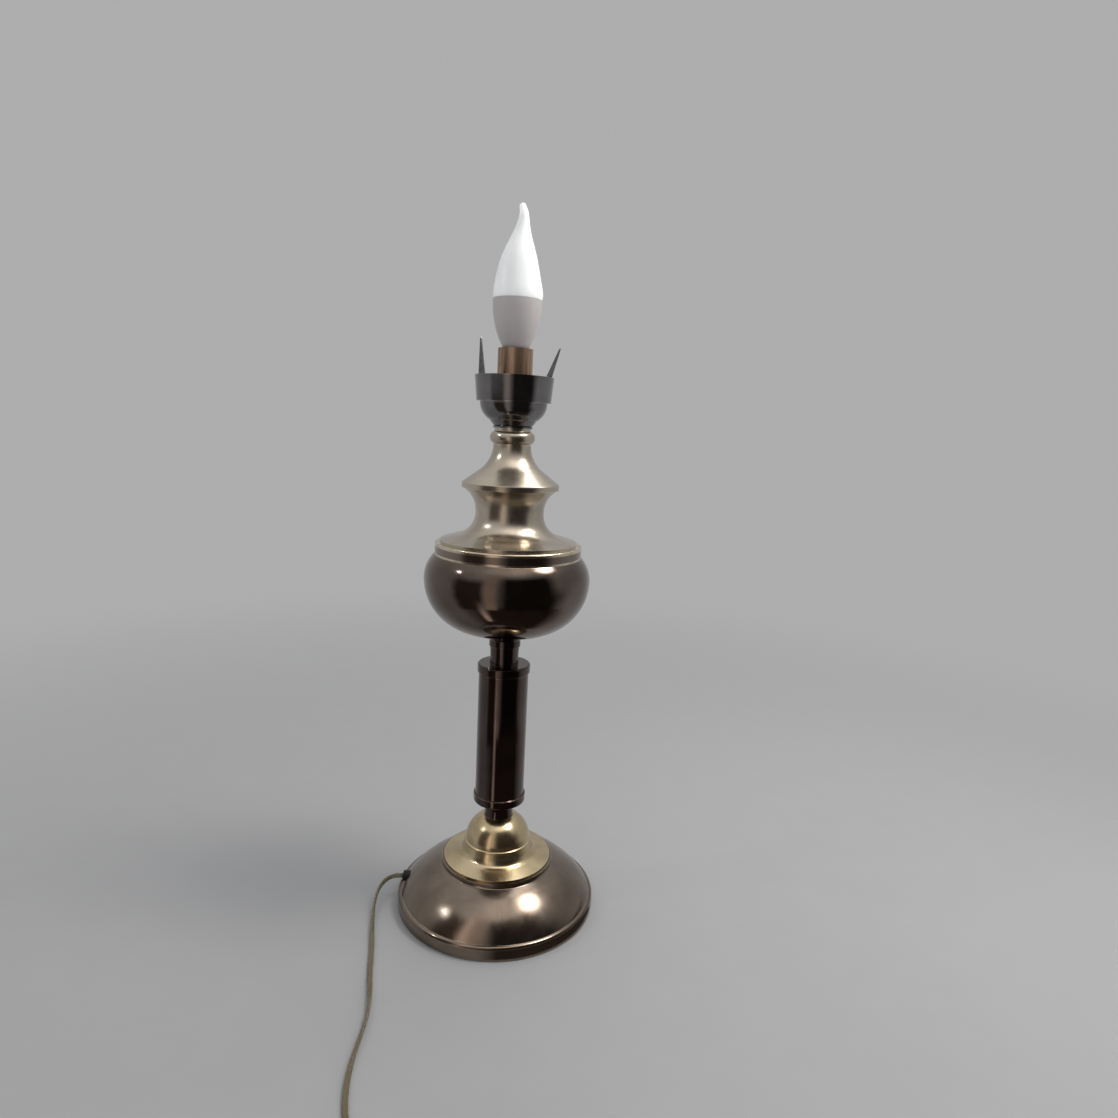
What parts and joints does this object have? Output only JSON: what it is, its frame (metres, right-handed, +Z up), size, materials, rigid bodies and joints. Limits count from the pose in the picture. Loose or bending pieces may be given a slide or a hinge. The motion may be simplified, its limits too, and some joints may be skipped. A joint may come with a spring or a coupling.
{
  "type": "table lamp",
  "caption": "Brass table lamp in oil-lamp style with a candle sleeve, a screw-in flame-shaped bulb, a cup with sprung prongs for a shade, and a coiled cord with switch and plug.",
  "frame": {"origin": "middle of the foot's underside, on the lamp's axis", "axes": "+Z up the lamp's axis, +X to the right seen from the front, -Y towards the viewer; the cord leaves on the -X side"},
  "size_m": [0.1893, 0.4169, 0.5656],
  "materials": {
    "felt": "matte felt",
    "plain_steel": "plain sheet",
    "smoky_brass": "smoky, worn lacquer",
    "cast_iron": "rough cast",
    "black_rubber": "satin",
    "gold_flex": "clear, olive-gold tint",
    "black_plastic": "gloss",
    "black_rocker": "gloss",
    "zinc_steel": "zinc plated",
    "yellow_brass": "polished, aged",
    "smoked_bronze": "smoked mirror plating",
    "dark_bronze": "dark lacquered gloss",
    "pale_brass": "polished, pale",
    "black_chrome": "black chrome gloss",
    "dark_steel": "dark spring steel",
    "copper_brass": "satin copper tone",
    "white_ceramic": "glazed",
    "brown_wire": "gloss",
    "blue_wire": "gloss",
    "white_diffuser": "satin opal",
    "grey_plastic": "pale grey satin",
    "white_board": "matte",
    "yellow_led": "gloss",
    "green_board": "matte",
    "nickel": "nickel plated"
  },
  "bodies": {
    "lamp": {"felt_pad": "felt", "base_cover": "plain_steel", "base_dome": "smoky_brass", "base_weight": "cast_iron", "cord_bush": "black_rubber", "inner_cord": "gold_flex", "cord_clamp": "black_plastic", "clamp_screws": "zinc_steel", "base_cap": "yellow_brass", "centre_rod": "zinc_steel", "rod_nuts": "yellow_brass", "rod_washer": "zinc_steel", "lower_neck": "smoked_bronze", "lower_collar": "smoked_bronze", "column_tube": "smoked_bronze", "upper_collar": "smoked_bronze", "upper_neck": "smoked_bronze", "font_foot": "smoked_bronze", "font_bowl": "dark_bronze", "font_rim": "dark_bronze", "font_shoulder": "pale_brass", "upper_bell": "pale_brass", "neck_bead": "pale_brass", "cup_washer": "black_chrome", "gallery_cup": "black_chrome", "gallery_band": "black_chrome", "prong_feet": "dark_steel", "candle_sleeve": "copper_brass", "lampholder_body": "black_plastic", "lampholder_insert": "white_ceramic", "lampholder_shell": "yellow_brass", "centre_contact": "yellow_brass", "terminal_screws": "yellow_brass", "wire_live": "brown_wire", "wire_neutral": "blue_wire", "cord_lead": "gold_flex", "cord_coil": "gold_flex", "cord_tie": "black_plastic", "switch_base": "black_plastic", "switch_cover": "black_plastic", "switch_contacts": "yellow_brass", "switch_screws": "zinc_steel", "plug_body": "black_plastic", "plug_relief": "black_rubber", "plug_pins": "nickel"},
    "bulb_thread": {"bulb_tip_contact": "zinc_steel"},
    "bulb": {"bulb_diffuser": "white_diffuser", "bulb_housing": "grey_plastic", "bulb_led_board": "white_board", "bulb_leds": "yellow_led", "bulb_driver": "green_board", "bulb_screw_cap": "nickel", "bulb_insulator": "black_plastic"},
    "prong_back": {"prong_back": "dark_steel"},
    "prong_left": {"prong_left": "dark_steel"},
    "prong_right": {"prong_right": "dark_steel"},
    "switch_rocker": {"switch_rocker": "black_rocker"}
  },
  "joints": [
    {"name": "bulb_turn", "type": "hinge", "parent": "bulb_thread", "child": "bulb", "pos_m": [0, 0, 0.45], "axis": [0, 0, 1], "range_deg": [0, 1800]},
    {"name": "bulb_lift", "type": "slide", "parent": "lamp", "child": "bulb_thread", "axis": [0, 0, 1], "range_m": [0, 0.0141]},
    {"name": "prong_back_flex", "type": "hinge", "parent": "lamp", "child": "prong_back", "pos_m": [-0.00153, 0.02926, 0.4406], "axis": [-0.9986, -0.0523, 0], "range_deg": [-8, 8], "stiffness_Nm_per_rad": 0.3},
    {"name": "prong_left_flex", "type": "hinge", "parent": "lamp", "child": "prong_left", "pos_m": [-0.02457, -0.01596, 0.4406], "axis": [0.5446, -0.8387, 0], "range_deg": [-8, 8], "stiffness_Nm_per_rad": 0.3},
    {"name": "prong_right_flex", "type": "hinge", "parent": "lamp", "child": "prong_right", "pos_m": [0.02611, -0.0133, 0.4406], "axis": [0.454, 0.891, 0], "range_deg": [-8, 8], "stiffness_Nm_per_rad": 0.3},
    {"name": "switch_tip", "type": "hinge", "parent": "lamp", "child": "switch_rocker", "pos_m": [-0.0038, -0.251, 0.0118], "axis": [0, -1, 0], "range_deg": [0, 14]}
  ],
  "couplings": [
    {"joint": "bulb_turn", "follows": "bulb_lift", "rad_per_m": 2227.9}
  ]
}
